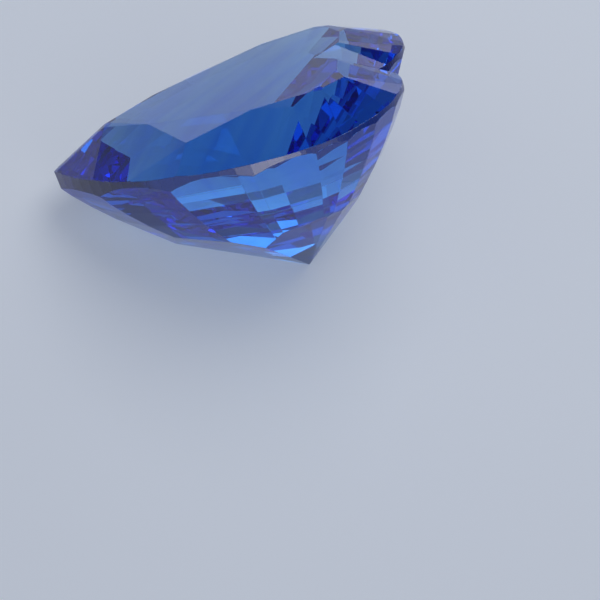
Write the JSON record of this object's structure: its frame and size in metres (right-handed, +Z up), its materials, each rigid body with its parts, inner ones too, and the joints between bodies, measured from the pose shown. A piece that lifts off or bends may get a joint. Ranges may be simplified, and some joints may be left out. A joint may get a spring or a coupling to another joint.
{
  "type": "faceted gemstone",
  "caption": "Heart cut blue sapphire: clear faceted stone with a flat table, brilliant crown and stepped pavilion, lying on one pavilion facet, ready for display or setting.",
  "frame": {"origin": "middle of the bounding box's underside, on the surface that the stone lies on", "axes": "+Z up, away from the resting facet; the heart's point lies towards -X and its lobes towards +X; the near side of the pavilion and the open side of the tilted table face -Y"},
  "size_m": [0.008, 0.0068, 0.0061],
  "materials": {
    "sapphire": "polished"
  },
  "bodies": {
    "root": {"heart_sapphire": "sapphire"}
  },
  "joints": []
}
